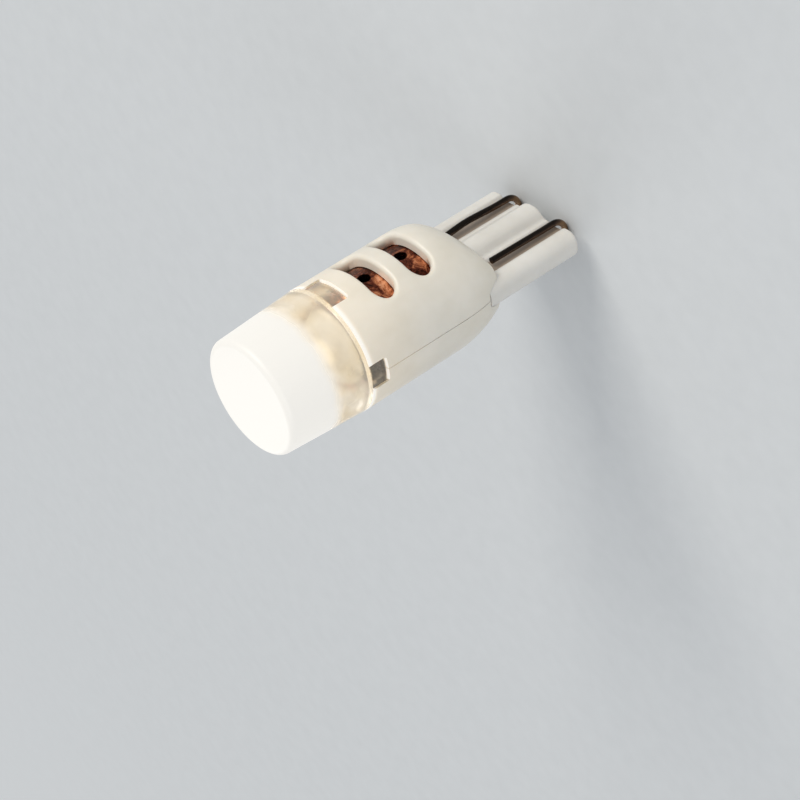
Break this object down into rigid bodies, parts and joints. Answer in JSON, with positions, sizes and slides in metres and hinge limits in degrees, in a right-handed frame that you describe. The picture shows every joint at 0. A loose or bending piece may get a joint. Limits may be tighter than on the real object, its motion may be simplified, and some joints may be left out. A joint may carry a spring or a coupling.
{
  "type": "wedge base led bulb",
  "caption": "Small plug-in LED lamp: vented round housing, frosted lens and a flat wedge base with bent wire contacts.",
  "frame": {"origin": "centre of the wedge's tip plane, on the lamp's axis", "axes": "+Z along the lamp's axis from the wedge towards the lens, +X across the wedge's width, +Y through its thickness"},
  "size_m": [0.01, 0.01, 0.0284],
  "materials": {
    "housing_plastic": "satin warm white moulding",
    "wedge_plastic": "glossy warm white moulding",
    "lens_plastic": "clear at the back, frosted at the front",
    "tinned_wire": "tin plated, drawn",
    "copper": "bare drawn copper",
    "thermal_pad": "soft, dull",
    "led_board": "sheet aluminium with a white printed face",
    "led_carrier": "matt white moulding",
    "phosphor": "cured silicone with phosphor",
    "glass_fibre_board": "green solder mask",
    "black_moulding": "matt black moulding compound",
    "tinned_leg": "tin plated",
    "solder": "bright solder",
    "resistor": "black glaze between metal ends",
    "capacitor": "brown ceramic between metal ends"
  },
  "bodies": {
    "root": {"front_housing": "housing_plastic", "rear_housing": "housing_plastic", "lens": "lens_plastic", "wedge_base": "wedge_plastic", "contact_wire_right": "tinned_wire", "contact_wire_left": "tinned_wire", "heat_sink": "copper", "thermal_pad": "thermal_pad", "led_board": "led_board", "led_package": "led_carrier", "led_phosphor": "phosphor", "feed_pins": "tinned_leg", "feed_solder": "solder", "driver_board": "glass_fibre_board", "driver_chip": "black_moulding", "driver_chip_legs": "tinned_leg", "bridge_rectifier": "black_moulding", "bridge_rectifier_legs": "tinned_leg", "chip_resistors": "resistor", "chip_capacitors": "capacitor", "surge_diode": "black_moulding", "wire_solder": "solder"}
  },
  "joints": []
}
